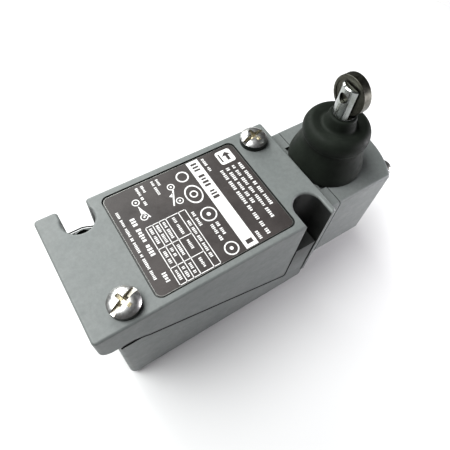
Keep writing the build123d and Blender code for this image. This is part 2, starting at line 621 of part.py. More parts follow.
save("contact_case", contact_case())
save("contact_cover", contact_cover())
cover_screw = pan_screw(1.9, 0.8, 0.92, 4.5, 0.5, 3.0, slot=False)
save("contact_cover_screws",
     *[Pos(x, y, CASE_Z1 + 0.62) * cover_screw for x, y in case_screw_places()])
save("contact_carrier", contact_carrier())
save("contact_bridge", contact_bridge())
save("fixed_contacts_closed",
     *[fixed_contact(CLOSED_X, s, -1, 6.9, 12.2, CLOSED_BLADE_Y, TIP_CLOSED) for s in (-1, 1)])
save("fixed_contacts_open",
     *[fixed_contact(OPEN_X, s, 1, 4.3, 9.7, OPEN_BLADE_Y, TIP_OPEN) for s in (-1, 1)])
carrier_coil = spring(CARRIER_SPRING_MEAN_R, CARRIER_SPRING_WIRE_R, 4.5, 4)
save("contact_spring", Pos(CARRIER_SPRING_X, 0, HEAD_MID_Z) * Rot(0, 90, 0) * carrier_coil)
save("push_rod", rod_x(22.35, SEAM_X + 0.15, 0, HEAD_MID_Z, PUSH_R))
seal = Pos(37.45, 0, HEAD_MID_Z) * Rot(0, 90, 0) * Torus(PUSH_R + 0.85, 0.72)
save("push_rod_seal", seal)

save("head_housing", head_housing())
save("head_gasket", head_gasket())
save("guide_plate", guide_plate())
end_screw = pan_screw(HEAD_SCREW_HEAD_R, 3.3, HEAD_SCREW_SHANK_R, 30.6, 0.7, 6.3, slot=False,
                      turn=20, wall=0.38)
save("head_screws", *[Pos(HEAD_SCREW_SEAT_X + 0.02, y, z) * Rot(0, 90, 0) * end_screw
                      for y, z in head_screw_places()])
save("plunger_bushing", plunger_bushing())
save("boot", boot())
coil_length = SPRING_POCKET_Z - POCKET_Z0 - 0.1
save("plunger_spring", Pos(SPRING_X, 0, POCKET_Z0 + 0.05) * spring(SPRING_MEAN_R, SPRING_WIRE_R,
                                                                coil_length, 6))

save("plunger_rod", plunger_rod())
save("roller", roller())
save("roller_pin", roller_pin())
save("cam_block", cam_block())
save("cam_pin", cam_pin())
save("transfer_pin", transfer_pin())
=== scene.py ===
"""Looks of the plug-in limit switch: camera, light, materials and the detailed pieces."""
import bpy
import bmesh
import json
import math
import random
from mathutils import Matrix, Vector


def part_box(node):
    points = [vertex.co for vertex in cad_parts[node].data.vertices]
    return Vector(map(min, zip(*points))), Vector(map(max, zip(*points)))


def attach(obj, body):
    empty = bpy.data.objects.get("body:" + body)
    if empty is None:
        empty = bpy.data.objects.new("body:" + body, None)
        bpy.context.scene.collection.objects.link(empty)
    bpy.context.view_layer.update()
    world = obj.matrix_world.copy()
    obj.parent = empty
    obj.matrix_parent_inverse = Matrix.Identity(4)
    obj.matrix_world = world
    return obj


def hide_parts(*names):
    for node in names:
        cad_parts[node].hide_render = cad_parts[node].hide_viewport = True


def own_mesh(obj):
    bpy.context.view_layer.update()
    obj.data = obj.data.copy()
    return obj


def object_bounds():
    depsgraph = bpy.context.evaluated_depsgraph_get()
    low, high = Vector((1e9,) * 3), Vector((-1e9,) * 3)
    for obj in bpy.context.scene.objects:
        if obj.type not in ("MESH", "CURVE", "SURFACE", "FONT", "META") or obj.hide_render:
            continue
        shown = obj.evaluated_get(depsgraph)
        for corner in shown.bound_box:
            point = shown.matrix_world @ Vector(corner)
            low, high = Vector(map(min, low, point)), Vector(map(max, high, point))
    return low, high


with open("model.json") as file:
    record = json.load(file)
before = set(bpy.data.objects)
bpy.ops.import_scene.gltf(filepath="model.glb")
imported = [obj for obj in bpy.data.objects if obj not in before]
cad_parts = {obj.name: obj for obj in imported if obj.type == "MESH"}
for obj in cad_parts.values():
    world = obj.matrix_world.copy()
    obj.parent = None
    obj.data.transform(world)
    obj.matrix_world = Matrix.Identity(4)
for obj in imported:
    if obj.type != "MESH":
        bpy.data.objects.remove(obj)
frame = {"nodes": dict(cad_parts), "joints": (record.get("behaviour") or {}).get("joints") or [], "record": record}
cad_low, cad_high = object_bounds()
nodes = frame["nodes"]
joints = {joint["name"]: joint for joint in frame["joints"]}
mounts = {mount["name"]: mount for mount in frame["record"]["mounts"]}
MM = 0.001


def cad_box(node):
    """Low and high corner of a CAD node in millimetres, to a thousandth."""
    return [[round(value / MM, 3) for value in corner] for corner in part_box(node)]


PLATE_LOW, PLATE_HIGH = cad_box("nameplate")
BOOT_LOW, BOOT_HIGH = cad_box("boot")
BODY_HALF_WIDTH = cad_box("body_housing")[1][1]
PLUNGER_X = round(joints["roller_spin"]["pos_m"][0] / MM, 3)
CONDUIT_Z = round(mounts["conduit_entry"]["pos_m"][2] / MM, 3)


# ---------------------------------------------------------------- camera
# Solved from the long, short and upright edges of the switch.
CAMERA_PLACE = (-33.68, -53.88, 149.04)
CAMERA_RIGHT = (0.84009, -0.53760, 0.07232)
CAMERA_UP = (0.43394, 0.74605, 0.50508)
CAMERA_LENS = 33.25
CAMERA_SENSOR = 36.0
CAMERA_NEAR = 5.0


def make_camera():
    """Close and wide, looking down on the front plate from the conduit end."""
    right = Vector(CAMERA_RIGHT)
    up = Vector(CAMERA_UP)
    back = right.cross(up)
    data = bpy.data.cameras.new("camera")
    data.lens = CAMERA_LENS
    data.sensor_width = CAMERA_SENSOR
    data.clip_start = CAMERA_NEAR * MM
    camera = bpy.data.objects.new("camera", data)
    turn = Matrix((right, up, back)).transposed().to_4x4()
    camera.matrix_world = Matrix.Translation(Vector(CAMERA_PLACE) * MM) @ turn
    bpy.context.scene.collection.objects.link(camera)
    bpy.context.scene.camera = camera
    bpy.context.scene.view_settings.view_transform = "Standard"


# ---------------------------------------------------------------- light and floor
# Places and sizes are in metres in this section, and in millimetres in the others.
WORLD_LIGHT = 0.07
WORLD_SEEN = 1.0
SWITCH_MIDDLE = (0.0, 0.0, 0.03)
FLOOR_RADIUS = 0.25
FLOOR_GAP = 0.0001
FLOOR_WHITE = 0.76


def area_light(name, position, target, size, watts, colour):
    """Round lamp aimed at a target, with places and size in metres."""
    data = bpy.data.lights.new(name, "AREA")
    data.shape = "DISK"
    data.size = size
    data.energy = watts
    data.color = colour
    lamp = bpy.data.objects.new(name, data)
    lamp.location = position
    aim = Vector(target) - Vector(position)
    lamp.rotation_euler = aim.to_track_quat("-Z", "Y").to_euler()
    bpy.context.scene.collection.objects.link(lamp)


def make_world():
    """White where the camera looks past the floor, and a weak soft light on everything."""
    world = bpy.data.worlds.new("studio")
    world.use_nodes = True
    tree = world.node_tree
    light = tree.nodes["Background"]
    seen = tree.nodes.new("ShaderNodeBackground")
    for background, strength in ((light, WORLD_LIGHT), (seen, WORLD_SEEN)):
        background.inputs["Color"].default_value = (1, 1, 1, 1)
        background.inputs["Strength"].default_value = strength
    choice = tree.nodes.new("ShaderNodeMixShader")
    path = tree.nodes.new("ShaderNodeLightPath")
    tree.links.new(path.outputs["Is Camera Ray"], choice.inputs[0])
    tree.links.new(light.outputs[0], choice.inputs[1])
    tree.links.new(seen.outputs[0], choice.inputs[2])
    tree.links.new(choice.outputs[0], tree.nodes["World Output"].inputs["Surface"])
    bpy.context.scene.world = world


def make_light():
    """Key from above the conduit end, a lamp behind, and a small one at the head end."""
    area_light("key", (-0.24, 0.15, 0.50), SWITCH_MIDDLE, size=0.44, watts=4.7,
               colour=(0.985, 1.0, 0.995))
    area_light("back", (0.02, 0.44, 0.30), SWITCH_MIDDLE, size=0.30, watts=2.4,
               colour=(0.975, 1.0, 0.98))
    area_light("side_fill", (0.22, -0.105, 0.06), (0.05, -0.01, 0.02), size=0.07, watts=0.50,
               colour=(1.0, 0.97, 1.02))


def make_floor():
    """Round pale floor just under the switch."""
    mesh = bpy.data.meshes.new("floor")
    rim = [(x, y, 0) for x, y in disc(0, 0, FLOOR_RADIUS, 96)]
    mesh.from_pydata(rim, [], [tuple(range(len(rim)))])
    floor = bpy.data.objects.new("floor", mesh)
    floor.location.z = cad_low[2] - FLOOR_GAP
    bpy.context.scene.collection.objects.link(floor)
    material = bpy.data.materials.new("floor_white")
    material.use_nodes = True
    shader = material.node_tree.nodes["Principled BSDF"]
    shader.inputs["Base Color"].default_value = (FLOOR_WHITE, FLOOR_WHITE, FLOOR_WHITE, 1)
    shader.inputs["Roughness"].default_value = 0.9
    mesh.materials.append(material)


# ---------------------------------------------------------------- shader helper
class Shader:
    """One node material around a Principled shader, with sizes given in millimetres."""

    def __init__(self, name, colour, **sockets):
        self.material = bpy.data.materials.new(name)
        self.material.use_nodes = True
        self.tree = self.material.node_tree
        self.shader = self.tree.nodes["Principled BSDF"]
        self.shader.inputs["Base Color"].default_value = (*colour, 1)
        for socket, value in sockets.items():
            self.shader.inputs[socket.replace("_", " ")].default_value = value
        coordinates = self.node("ShaderNodeTexCoord")
        self.place = coordinates.outputs["Object"]
        self.place_normal = coordinates.outputs["Normal"]

    def node(self, kind, **settings):
        """New node of a kind, with its own settings."""
        made = self.tree.nodes.new(kind)
        for key, value in settings.items():
            setattr(made, key, value)
        return made

    def link(self, source, target):
        self.tree.links.new(source, target)

    def stretched(self, sx, sy, sz):
        """Object place with each axis scaled, to draw a texture out along one direction."""
        mapping = self.node("ShaderNodeMapping")
        mapping.inputs["Scale"].default_value = (sx, sy, sz)
        self.link(self.place, mapping.inputs["Vector"])
        return mapping.outputs["Vector"]

    def noise(self, size, detail, rough, place=None):
        """Noise with features of about that size in millimetres, from 0 to 1."""
        made = self.node("ShaderNodeTexNoise")
        made.inputs["Scale"].default_value = 1.0 / (size * MM)
        made.inputs["Detail"].default_value = detail
        made.inputs["Roughness"].default_value = rough
        self.link(place or self.place, made.inputs["Vector"])
        return made.outputs["Fac"]

    def ramp(self, value, *stops):
        """Colour ramp. Each stop is (position, grey) or (position, (r, g, b))."""
        made = self.node("ShaderNodeValToRGB")
        ramp = made.color_ramp
        while len(ramp.elements) < len(stops):
            ramp.elements.new(0.5)
        for element, (position, colour) in zip(ramp.elements, stops):
            element.position = position
            rgb = colour if isinstance(colour, tuple) else (colour, colour, colour)
            element.color = (*rgb, 1)
        self.link(value, made.inputs["Fac"])
        return made.outputs["Color"]

    def mix(self, amount, first, second, blend="MIX"):
        """Mix of two colours, each a socket or (r, g, b)."""
        made = self.node("ShaderNodeMix", data_type="RGBA", blend_type=blend)
        for value, socket in ((amount, made.inputs["Factor"]), (first, made.inputs["A"]),
                              (second, made.inputs["B"])):
            if isinstance(value, (int, float)):
                socket.default_value = value
            elif isinstance(value, tuple):
                socket.default_value = (*value, 1)
            else:
                self.link(value, socket)
        return made.outputs["Result"]

    def math(self, operation, first, second=0.0):
        """One sum on two values, each a socket or a number."""
        made = self.node("ShaderNodeMath", operation=operation)
        for value, socket in ((first, made.inputs[0]), (second, made.inputs[1])):
            if isinstance(value, (int, float)):
                socket.default_value = value
            else:
                self.link(value, socket)
        return made.outputs["Value"]

    def bump(self, height, depth, strength, under=None):
        """Relief of that depth in millimetres."""
        made = self.node("ShaderNodeBump")
        made.inputs["Strength"].default_value = strength
        made.inputs["Distance"].default_value = depth * MM
        self.link(height, made.inputs["Height"])
        if under:
            self.link(under, made.inputs["Normal"])
        self.link(made.outputs["Normal"], self.shader.inputs["Normal"])
        return made.outputs["Normal"]

    def colour(self, source):
        self.link(source, self.shader.inputs["Base Color"])

    def roughness(self, source):
        self.link(source, self.shader.inputs["Roughness"])

    def openness(self, reach):
        """1 where nothing stands within reach, falling to 0 in slots and corners."""
        made = self.node("ShaderNodeAmbientOcclusion", samples=8, only_local=True)
        made.inputs["Distance"].default_value = reach * MM
        return made.outputs["AO"]

    def part_of(self, vector, axis):
        """One component, X, Y or Z, of a place or a normal."""
        parts = self.node("ShaderNodeSeparateXYZ")
        self.link(vector, parts.inputs["Vector"])
        return parts.outputs[axis]

    def edges(self, radius):
        """0 on open faces, rising within radius of an edge to about 0.3 on a square one."""
        bevel = self.node("ShaderNodeBevel", samples=6)
        bevel.inputs["Radius"].default_value = radius * MM
        flat = self.node("ShaderNodeNewGeometry").outputs["Normal"]
        dot = self.node("ShaderNodeVectorMath", operation="DOT_PRODUCT")
        self.link(bevel.outputs["Normal"], dot.inputs[0])
        self.link(flat, dot.inputs[1])
        return self.math("SUBTRACT", 1.0, dot.outputs["Value"])


# ---------------------------------------------------------------- materials
# The open slot of the front plate and the painted shade in it, by place on the part.
SLOT_X = (25.0, 34.52)
SLOT_Y = -9.0
SLOT_TOP = 46.95
SHADE_FOOT = 13.0
SHADE_RISE = 17.2
SLOT_SHADE_COLOUR = (0.03, 0.035, 0.03)
SCREW_HEAD_FOOT = 47.6


def painted_slot_shade(s):
    """Painted shade in the open slot and on the base's ear, darkest at the top, fading out towards its foot."""
    x, y, z = (s.part_of(s.place, axis) for axis in "XYZ")
    inside = s.math("MULTIPLY", s.math("GREATER_THAN", x, SLOT_X[0] * MM),
                    s.math("LESS_THAN", x, SLOT_X[1] * MM))
    inside = s.math("MULTIPLY", inside, s.math("LESS_THAN", y, SLOT_Y * MM))
    inside = s.math("MULTIPLY", inside, s.math("LESS_THAN", z, SLOT_TOP * MM))
    height = s.math("DIVIDE", s.math("SUBTRACT", z, SHADE_FOOT * MM), SHADE_RISE * MM)
    # painted shade: the slot and the ear's top darken upwards, standing in for the shadow inside the slot
    slot_shade_ramp = s.ramp(height, (0.05, 0.0), (0.95, 0.88))
    return s.mix(s.math("MULTIPLY", inside, slot_shade_ramp), (1.0, 1.0, 1.0), SLOT_SHADE_COLOUR)


def enamel():
    """Grey-green enamel on a die casting: orange peel, clouds, rubbed spots, painted shade in recesses and the
    slot.
    """
    s = Shader("grey_enamel", (0.150, 0.164, 0.160), Roughness=0.5, Coat_Weight=0.06,
               Coat_Roughness=0.4)
    clouds = s.ramp(s.noise(14.0, 4.0, 0.6), (0.3, (0.138, 0.152, 0.149)),
                    (0.7, (0.162, 0.174, 0.170)))
    fine = s.ramp(s.noise(1.1, 5.0, 0.65), (0.35, (0.90, 0.90, 0.90)), (0.65, (1.05, 1.05, 1.05)))
    base = s.mix(1.0, clouds, fine, "MULTIPLY")
    scuffs = s.ramp(s.noise(5.5, 9.0, 0.72), (0.655, 0.0), (0.70, 1.0))
    rubbed = s.mix(s.math("MULTIPLY", scuffs, 0.35), base, (0.075, 0.082, 0.080))
    worn = s.ramp(s.edges(0.35), (0.02, 0.0), (0.20, 1.0))
    breakup = s.ramp(s.noise(2.2, 5.0, 0.7), (0.42, 0.0), (0.62, 1.0))
    edge = s.math("MULTIPLY", s.math("MULTIPLY", worn, breakup), 0.45)
    finish = s.mix(edge, rubbed, (0.26, 0.27, 0.265))
    # painted shade: the colour darkens where little open air reaches, in recesses and narrow creases
    painted_hollow_shade = s.ramp(s.openness(16.0), (0.46, (0.05, 0.06, 0.045)), (0.88, (1.0, 1.0, 1.0)))
    painted_crevice_shade = s.ramp(s.openness(1.1), (0.45, 0.30), (0.80, 1.0))
    shade = s.mix(1.0, painted_hollow_shade, painted_crevice_shade, "MULTIPLY")
    # the painted shade, also that of the open slot, is multiplied into the enamel's colour
    s.colour(s.mix(1.0, s.mix(1.0, finish, shade, "MULTIPLY"), painted_slot_shade(s), "MULTIPLY"))
    s.roughness(s.ramp(s.noise(3.0, 4.0, 0.6), (0.3, 0.46), (0.7, 0.60)))
    peel = s.bump(s.noise(0.9, 2.0, 0.5), 0.035, 0.5)
    s.bump(s.noise(0.22, 2.0, 0.5), 0.008, 0.5, peel)
    return s.material


def plate_print():
    """Dark printed ground of the nameplate, a little rubbed."""
    s = Shader("plate_ground", (0.05, 0.042, 0.04), Roughness=0.5, Specular_IOR_Level=0.38)
    clouds = s.ramp(s.noise(12.0, 5.0, 0.6), (0.3, (0.031, 0.026, 0.025)),
                    (0.7, (0.053, 0.045, 0.043)))
    grain = s.ramp(s.noise(0.35, 3.0, 0.6), (0.3, 0.86), (0.7, 1.12))
    s.colour(s.mix(1.0, clouds, grain, "MULTIPLY"))
    s.roughness(s.ramp(s.noise(2.5, 4.0, 0.6), (0.3, 0.36), (0.7, 0.52)))
    s.bump(s.noise(0.5, 2.0, 0.5), 0.01, 0.4)
    return s.material


def white_ink():
    """White print, thin and a little greyed in places."""
    s = Shader("white_ink", (0.80, 0.79, 0.78), Roughness=0.55)
    s.colour(s.ramp(s.noise(1.6, 5.0, 0.7), (0.28, (0.60, 0.59, 0.58)), (0.55, (0.84, 0.83, 0.82))))
    s.bump(s.noise(0.3, 2.0, 0.5), 0.006, 0.4)
    return s.material


def metal(name, colour, rough, grain=(1.0, 1.0, 1.0), size=0.8, spread=0.12, depth=0.006,
          tarnish=None):
    """Plated, drawn or ground metal. grain stretches the tool marks along an axis."""
    s = Shader(name, colour, Metallic=1.0, Roughness=rough)
    place = s.stretched(*grain)
    marks = s.noise(size, 5.0, 0.65, place)
    dark = tuple(c * (1 - spread) for c in colour)
    light = tuple(min(1.0, c * (1 + spread)) for c in colour)
    shade = s.ramp(marks, (0.3, dark), (0.7, light))
    if tarnish:
        stain = s.ramp(s.noise(2.4, 6.0, 0.7), (0.48, 0.0), (0.66, 1.0))
        shade = s.mix(s.math("MULTIPLY", stain, 0.6), shade, tarnish)
    s.colour(shade)
    s.roughness(s.ramp(marks, (0.25, max(0.04, rough - 0.09)), (0.75, rough + 0.12)))
    s.bump(marks, depth, 0.6)
    return s.material


def screw_chrome():
    """Bright plating on the captive screws: brown in the recess, a painted dark reflection on the head's upright
    side.
    """
    s = Shader("chrome_screw", (0.62, 0.62, 0.61), Metallic=1.0, Roughness=0.34)
    marks = s.noise(0.7, 5.0, 0.6)
    top = s.ramp(marks, (0.3, (0.50, 0.50, 0.50)), (0.7, (0.70, 0.70, 0.69)))
    stain = s.ramp(s.noise(2.0, 6.0, 0.7), (0.50, 0.0), (0.68, 0.7))
    top = s.mix(stain, top, (0.42, 0.37, 0.30))
    open_air = s.openness(1.6)
    top = s.mix(s.ramp(open_air, (0.45, 1.0), (0.85, 0.0)), top, (0.62, 0.57, 0.44))
    # painted reflection: the head's upright sides turn near black, standing in for dark surroundings mirrored in
    # the chrome
    facing = s.math("ABSOLUTE", s.part_of(s.place_normal, "Z"))
    upright = s.ramp(facing, (0.22, 1.0), (0.50, 0.0))
    on_head = s.math("GREATER_THAN", s.part_of(s.place, "Z"), SCREW_HEAD_FOOT * MM)
    painted_dark_reflection = s.math("MULTIPLY", s.math("MULTIPLY", upright, on_head),
                  s.ramp(open_air, (0.70, 0.0), (0.90, 1.0)))
    s.colour(s.mix(painted_dark_reflection, top, (0.030, 0.033, 0.029)))
    s.roughness(s.ramp(marks, (0.25, 0.27), (0.75, 0.42)))
    s.bump(marks, 0.003, 0.5)
    return s.material


def rubber(name, colour, rough):
    """Black moulded rubber with a dusty bloom."""
    s = Shader(name, colour, Roughness=rough, Specular_IOR_Level=0.08, Sheen_Weight=0.02,
               Sheen_Roughness=0.5)
    bloom = s.ramp(s.noise(7.0, 6.0, 0.65), (0.35, colour), (0.75, tuple(c * 1.75 for c in colour)))
    s.colour(bloom)
    s.roughness(s.ramp(s.noise(1.8, 4.0, 0.6), (0.3, rough - 0.08), (0.7, rough + 0.12)))
    pits = s.bump(s.noise(0.35, 3.0, 0.6), 0.02, 0.45)
    s.bump(s.noise(2.6, 3.0, 0.5), 0.05, 0.3, pits)
    return s.material


def plastic(name, colour, rough, fleck):
    """Moulded plastic with flow clouds and a fine spark-eroded texture."""
    s = Shader(name, colour, Roughness=rough)
    low = tuple(c * (1 - fleck) for c in colour)
    high = tuple(min(1.0, c * (1 + fleck)) for c in colour)
    s.colour(s.ramp(s.noise(4.0, 6.0, 0.65), (0.3, low), (0.7, high)))
    s.roughness(s.ramp(s.noise(1.4, 4.0, 0.6), (0.3, rough - 0.07), (0.7, rough + 0.1)))
    s.bump(s.noise(0.28, 3.0, 0.6), 0.012, 0.5)
    return s.material


def make_materials():
    """Material for each slot of the record, and for the ink, the plate's edge and head screws."""
    return {
        "casting_paint": enamel(),
        "nameplate_print": plate_print(),
        "white_ink": white_ink(),
        "plate_rim": metal("bare_plate_edge", (0.26, 0.26, 0.25), 0.36, size=0.5),
        "chrome_steel": screw_chrome(),
        "chrome_end": metal("chrome_end_screw", (0.80, 0.80, 0.79), 0.20, size=0.6, spread=0.08,
                            depth=0.004, tarnish=(0.56, 0.52, 0.42)),
        "zinc_steel": metal("zinc_plated_steel", (0.60, 0.60, 0.58), 0.34, tarnish=(0.48, 0.44, 0.34)),
        "ground_green": metal("green_dyed_steel", (0.06, 0.36, 0.15), 0.38),
        "boot_rubber": rubber("boot_rubber_black", (0.0078, 0.0100, 0.0076), 0.58),
        "gasket_rubber": rubber("gasket_black", (0.02, 0.02, 0.02), 0.6),
        "phenolic_black": plastic("phenolic_black", (0.026, 0.026, 0.028), 0.36, 0.3),
        "phenolic_brown": plastic("phenolic_brown", (0.12, 0.045, 0.022), 0.38, 0.25),
        "nylon_white": plastic("nylon_white", (0.74, 0.72, 0.64), 0.42, 0.05),
        "brass_strip": metal("brass_strip", (0.74, 0.54, 0.24), 0.26, tarnish=(0.46, 0.27, 0.12)),
        "bronze": metal("sintered_bronze", (0.48, 0.32, 0.16), 0.42, size=0.3, spread=0.25),
        "roller_steel": metal("oiled_roller_steel", (0.072, 0.071, 0.058), 0.40, (0.25, 1.0, 1.0),
                              size=0.5, spread=0.35, depth=0.008, tarnish=(0.035, 0.031, 0.022)),
        "rod_steel": metal("ground_rod_steel", (0.34, 0.355, 0.345), 0.18, (1.0, 1.0, 0.12),
                           size=0.5, spread=0.16, depth=0.008, tarnish=(0.22, 0.235, 0.20)),
        "spring_steel": metal("spring_wire", (0.50, 0.50, 0.51), 0.28, size=0.4),
    }


# ---------------------------------------------------------------- mesh helpers
RING_STEPS = 40


def finish_piece(name, mesh, material, body, smooth=False):
    """Link a mesh as a piece that rides on a body and takes its finish from a slot."""
    piece = bpy.data.objects.new(name, mesh)
    bpy.context.scene.collection.objects.link(piece)
    mesh.materials.append(material)
    if smooth:
        for face in mesh.polygons:
            face.use_smooth = True
    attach(piece, body)
    return piece


def loop_of(bm, outline, z):
    """Vertices over an outline in X and Y at height z, in millimetres."""
    return [bm.verts.new((x * MM, y * MM, z * MM)) for x, y in outline]


def bridge(bm, one, two):
    """Skin of quads between two closed loops of as many vertices."""
    count = len(one)
    for i in range(count):
        j = (i + 1) % count
        bm.faces.new((one[i], one[j], two[j], two[i]))


def add_prism(bm, outline, z0, z1):
    """Closed prism over an outline in X and Y, in millimetres."""
    low = loop_of(bm, outline, z0)
    high = loop_of(bm, outline, z1)
    bm.faces.new(list(reversed(low)))
    bm.faces.new(high)
    bridge(bm, low, high)


def add_band(bm, outer, inner, z0, z1):
    """Flat band between two outlines in X and Y that have as many points."""
    loops = [loop_of(bm, outline, z)
             for outline, z in ((outer, z0), (outer, z1), (inner, z1), (inner, z0))]
    for one, two in zip(loops, loops[1:] + loops[:1]):
        bridge(bm, one, two)


def add_ring(bm, x, y, outer, inner, z0, z1, stretch=1.0):
    """Flat ring, its Y radius multiplied by stretch."""
    add_band(bm, disc(x, y, outer, RING_STEPS, stretch), disc(x, y, inner, RING_STEPS, stretch),
             z0, z1)


def add_tube(bm, rings):
    """Skin over a row of rings, closed at both ends."""
    for one, two in zip(rings, rings[1:]):
        bridge(bm, one, two)
    bm.faces.new(rings[0])
    bm.faces.new(list(reversed(rings[-1])))


def disc(x, y, radius, steps=32, stretch=1.0):
    """Outline of a circle, its Y radius multiplied by stretch."""
    turns = [2 * math.pi * i / steps for i in range(steps)]
    return [(x + radius * math.cos(a), y + radius * stretch * math.sin(a)) for a in turns]


def rect(x0, x1, y0, y1):
    """Outline of a rectangle."""
    return [(x0, y0), (x1, y0), (x1, y1), (x0, y1)]


def rounded_rect(x0, x1, y0, y1, r, steps=6):
    """Outline of a rectangle with round corners."""
    points = []
    for cx, cy, start in ((x1 - r, y1 - r, 0), (x0 + r, y1 - r, 90), (x0 + r, y0 + r, 180),
                          (x1 - r, y0 + r, 270)):
        for i in range(steps + 1):
            a = math.radians(start + 90 * i / steps)
            points.append((cx + r * math.cos(a), cy + r * math.sin(a)))
    return points


def mesh_from(bm, name):
    """Mesh with its faces turned outwards; the bmesh is used up."""
    bmesh.ops.recalc_face_normals(bm, faces=bm.faces)
    mesh = bpy.data.meshes.new(name)
    bm.to_mesh(mesh)
    bm.free()
    return mesh


def revolved(name, profile, x, steps):
    """Closed profile of (radius, z) turned about the upright axis through (x, 0)."""
    bm = bmesh.new()
    loops = []
    for i in range(steps):
        a = 2 * math.pi * i / steps
        loops.append([bm.verts.new(((x + r * math.cos(a)) * MM, r * math.sin(a) * MM, z * MM))
                      for r, z in profile])
    for one, two in zip(loops, loops[1:] + loops[:1]):
        bridge(bm, one, two)
    return mesh_from(bm, name)


# ---------------------------------------------------------------- nameplate print
PLATE_TOP = PLATE_HIGH[2]
PLATE_CORNER = 1.91
RIM_INSET = (0.03, 0.19)
INK = (PLATE_TOP + 0.005, PLATE_TOP + 0.03)
INK_OVER = (PLATE_TOP + 0.03, PLATE_TOP + 0.05)
RIM_Z = (PLATE_TOP - 0.06, PLATE_TOP + 0.03)
PRINT_SEED = 7
LETTER_GAP = 0.20
WORD_GAP = 0.5
RULE_WIDTH = 0.24


def text_row(bm, rng, x, y_start, y_end, height, z, weight=1.0):
    """A line of blank type: short upright blocks grouped as words, running towards -Y."""
    y = y_start
    while y > y_end + height:
        for _ in range(rng.randint(2, 7)):
            if y < y_end + height * 0.5:
                break
            wide = height * rng.uniform(0.22, 0.40) * weight
            tall = height * rng.choice((0.80, 0.80, 0.80, 0.62))
            add_prism(bm, rect(x - tall / 2, x + tall / 2, y - wide, y), *z)
            y -= wide + height * LETTER_GAP
        y -= height * WORD_GAP


def text_rows(bm, rng, height, *rows):
    """Lines of blank type of one height, each given as (x, y_start, y_end)."""
    for x, y_start, y_end in rows:
        text_row(bm, rng, x, y_start, y_end, height, INK)


def frame_lines(bm, xs, ys, y_parts, z):
    """Ruled table: full-length lines at xs, cross lines at ys, and part lines at y_parts."""
    half = RULE_WIDTH / 2
    for x in xs:
        add_prism(bm, rect(x - half, x + half, ys[1] - half, ys[0] + half), *z)
    for y in ys:
        add_prism(bm, rect(xs[0] - half, xs[-1] + half, y - half, y + half), *z)
    for y in y_parts:
        add_prism(bm, rect(xs[0] - half, xs[-2] + half, y - half, y + half), *z)


def print_head(bm, rng):
    """Head end of the print: a white bar, lines of blank type and a badge."""
    add_prism(bm, rect(5.9, 9.9, -17.0, 17.0), *INK)
    text_rows(bm, rng, 1.35, (20.7, 9.4, -8.9), (18.4, 9.4, -13.1), (16.3, 9.4, -5.6),
              (14.2, 9.4, -16.4))
    text_rows(bm, rng, 1.15, (11.3, 16.2, 9.8), (11.3, -13.6, -16.8))
    add_prism(bm, rounded_rect(15.6, 20.9, 10.9, 16.2, 0.9), *INK)


def print_rings(bm, rng):
    """Middle part of the print: a row of plain rings with three short lines between."""
    add_ring(bm, 2.6, 13.2, 2.0, 1.55, *INK)
    add_ring(bm, 2.5, 6.1, 2.65, 2.25, *INK, stretch=1.28)
    add_ring(bm, 2.5, 6.1, 1.25, 0.85, *INK)
    add_ring(bm, 2.7, -2.0, 2.45, 2.05, *INK)
    add_prism(bm, disc(2.7, -2.0, 0.62), *INK)
    add_ring(bm, 2.4, -14.6, 2.15, 1.75, *INK)
    add_prism(bm, disc(2.4, -14.6, 0.55), *INK)
    text_rows(bm, rng, 1.15, (3.2, -5.4, -11.6), (1.5, -5.4, -11.6), (-1.1, 0.9, -5.0))


def print_pointers(bm, rng):
    """Two plain pointer figures between pairs of small rings, and four lines of type."""
    text_rows(bm, rng, 1.0, (-11.3, 16.2, 9.2), (-9.6, 16.2, 12.4), (-6.3, 16.2, 9.4),
              (-4.7, 16.2, 12.2))
    for x, y in ((-13.6, 11.7), (-13.6, 6.2), (-2.2, 11.6), (-2.2, 6.1)):
        add_ring(bm, x, y, 1.15, 0.85, *INK)
        add_prism(bm, disc(x, y, 0.32, 16), *INK)
    add_prism(bm, [(-13.6, 10.4), (-13.95, 7.4), (-12.1, 5.3), (-11.9, 5.5)], *INK)
    add_prism(bm, [(-1.9, 10.3), (-4.3, 5.2), (-4.7, 5.4), (-2.4, 10.5)], *INK)
    add_prism(bm, [(-2.6, 9.6), (-4.3, 8.8), (-3.3, 8.0)], *INK)


def print_table(bm, rng):
    """Ruled table with blank type in its columns, and three lines at the conduit end."""
    columns = (-15.1, -12.95, -10.9, -8.8, -4.7, -2.5)
    frame_lines(bm, columns, (2.75, -16.9), (-4.96, -11.5), INK)
    for left, right in zip(columns[:-2], columns[1:-1]):
        middle = (left + right) / 2
        text_rows(bm, rng, 1.05, (middle, 2.0, -4.3), (middle, -6.2, -10.6), (middle, -12.6, -16.4))
    text_rows(bm, rng, 1.05, (-3.6, -1.0, -14.6))
    text_row(bm, rng, -17.0, 7.4, -8.6, 1.75, INK, 1.2)
    text_rows(bm, rng, 1.5, (-17.2, -11.6, -15.9))
    text_rows(bm, rng, 1.0, (-19.8, 11.3, -12.4))


def print_over(bm, rng):
    """Dark print on the white: a line and a block on the bar, an arrow at a stop on the badge."""
    text_row(bm, rng, 7.9, 16.0, 1.2, 2.5, INK_OVER)
    add_prism(bm, rect(6.9, 9.0, -15.9, -14.5), *INK_OVER)
    add_prism(bm, [(18.9, 15.3), (17.3, 13.9), (18.4, 13.9), (18.4, 11.9), (19.4, 11.9),
                   (19.4, 13.9), (20.4, 13.9)], *INK_OVER)
    add_prism(bm, rect(16.3, 16.8, 11.9, 15.2), *INK_OVER)


def plate_outline(inset):
    """Outline of the nameplate, moved in by inset."""
    return rounded_rect(PLATE_LOW[0] + inset, PLATE_HIGH[0] - inset, PLATE_LOW[1] + inset,
                        PLATE_HIGH[1] - inset, PLATE_CORNER - inset, 8)


